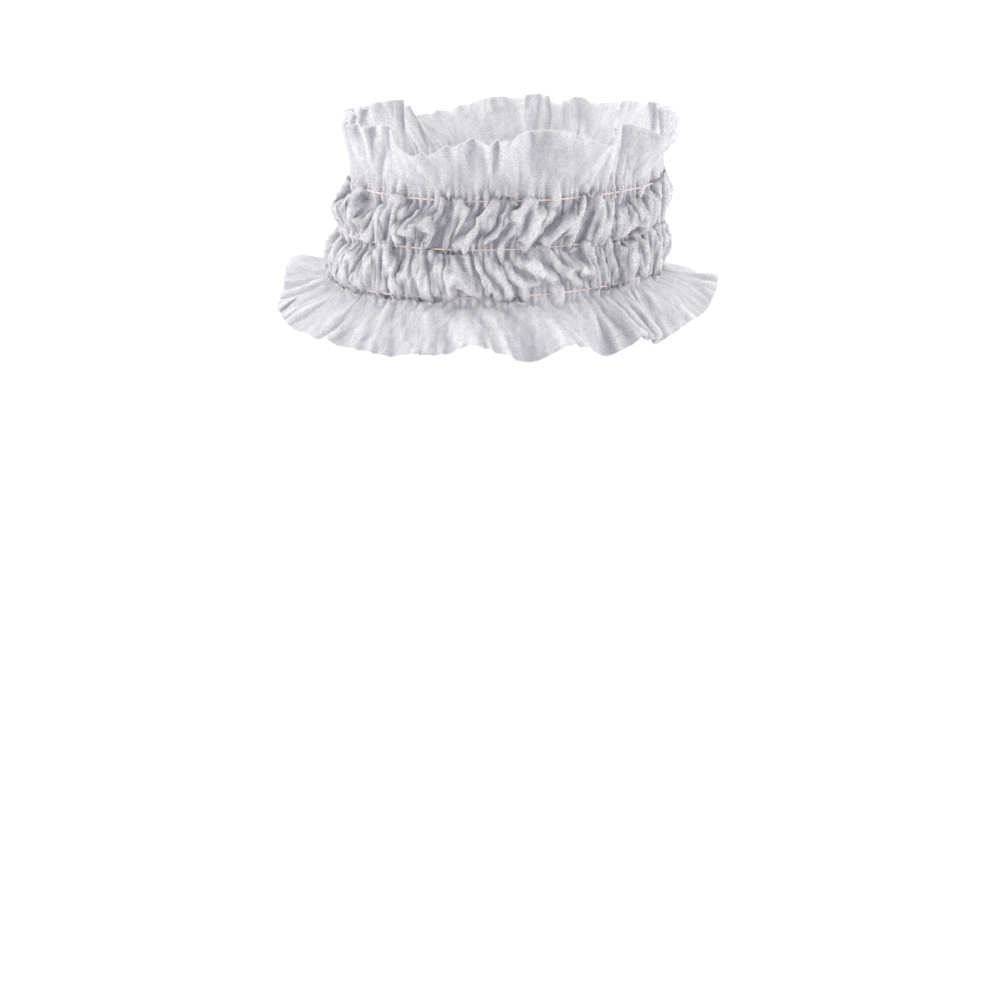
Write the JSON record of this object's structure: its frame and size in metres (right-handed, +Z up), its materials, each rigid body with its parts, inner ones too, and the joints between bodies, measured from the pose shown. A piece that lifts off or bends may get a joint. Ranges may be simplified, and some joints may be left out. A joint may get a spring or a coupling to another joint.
{
  "type": "disposable ruffled headband",
  "caption": "Ring of gathered nonwoven cloth on elastic threads, with puffed rows, a standing top ruffle and a flaring lower ruffle, worn round the head to hold hair back.",
  "frame": {"origin": "middle of the head opening, at the height of the middle elastic thread", "axes": "+Z up along the wearer's head, -Y towards the forehead, +X towards the wearer's left"},
  "size_m": [0.2201, 0.2571, 0.1149],
  "materials": {
    "nonwoven_cloth": "soft white spunbond cloth, sheer, with fine bonded dots",
    "elastic_thread": "matt covered elastic, pale cream"
  },
  "bodies": {
    "root": {"ruffled_sleeve": "nonwoven_cloth", "elastic_upper": "elastic_thread", "elastic_middle": "elastic_thread", "elastic_lower": "elastic_thread"}
  },
  "joints": []
}
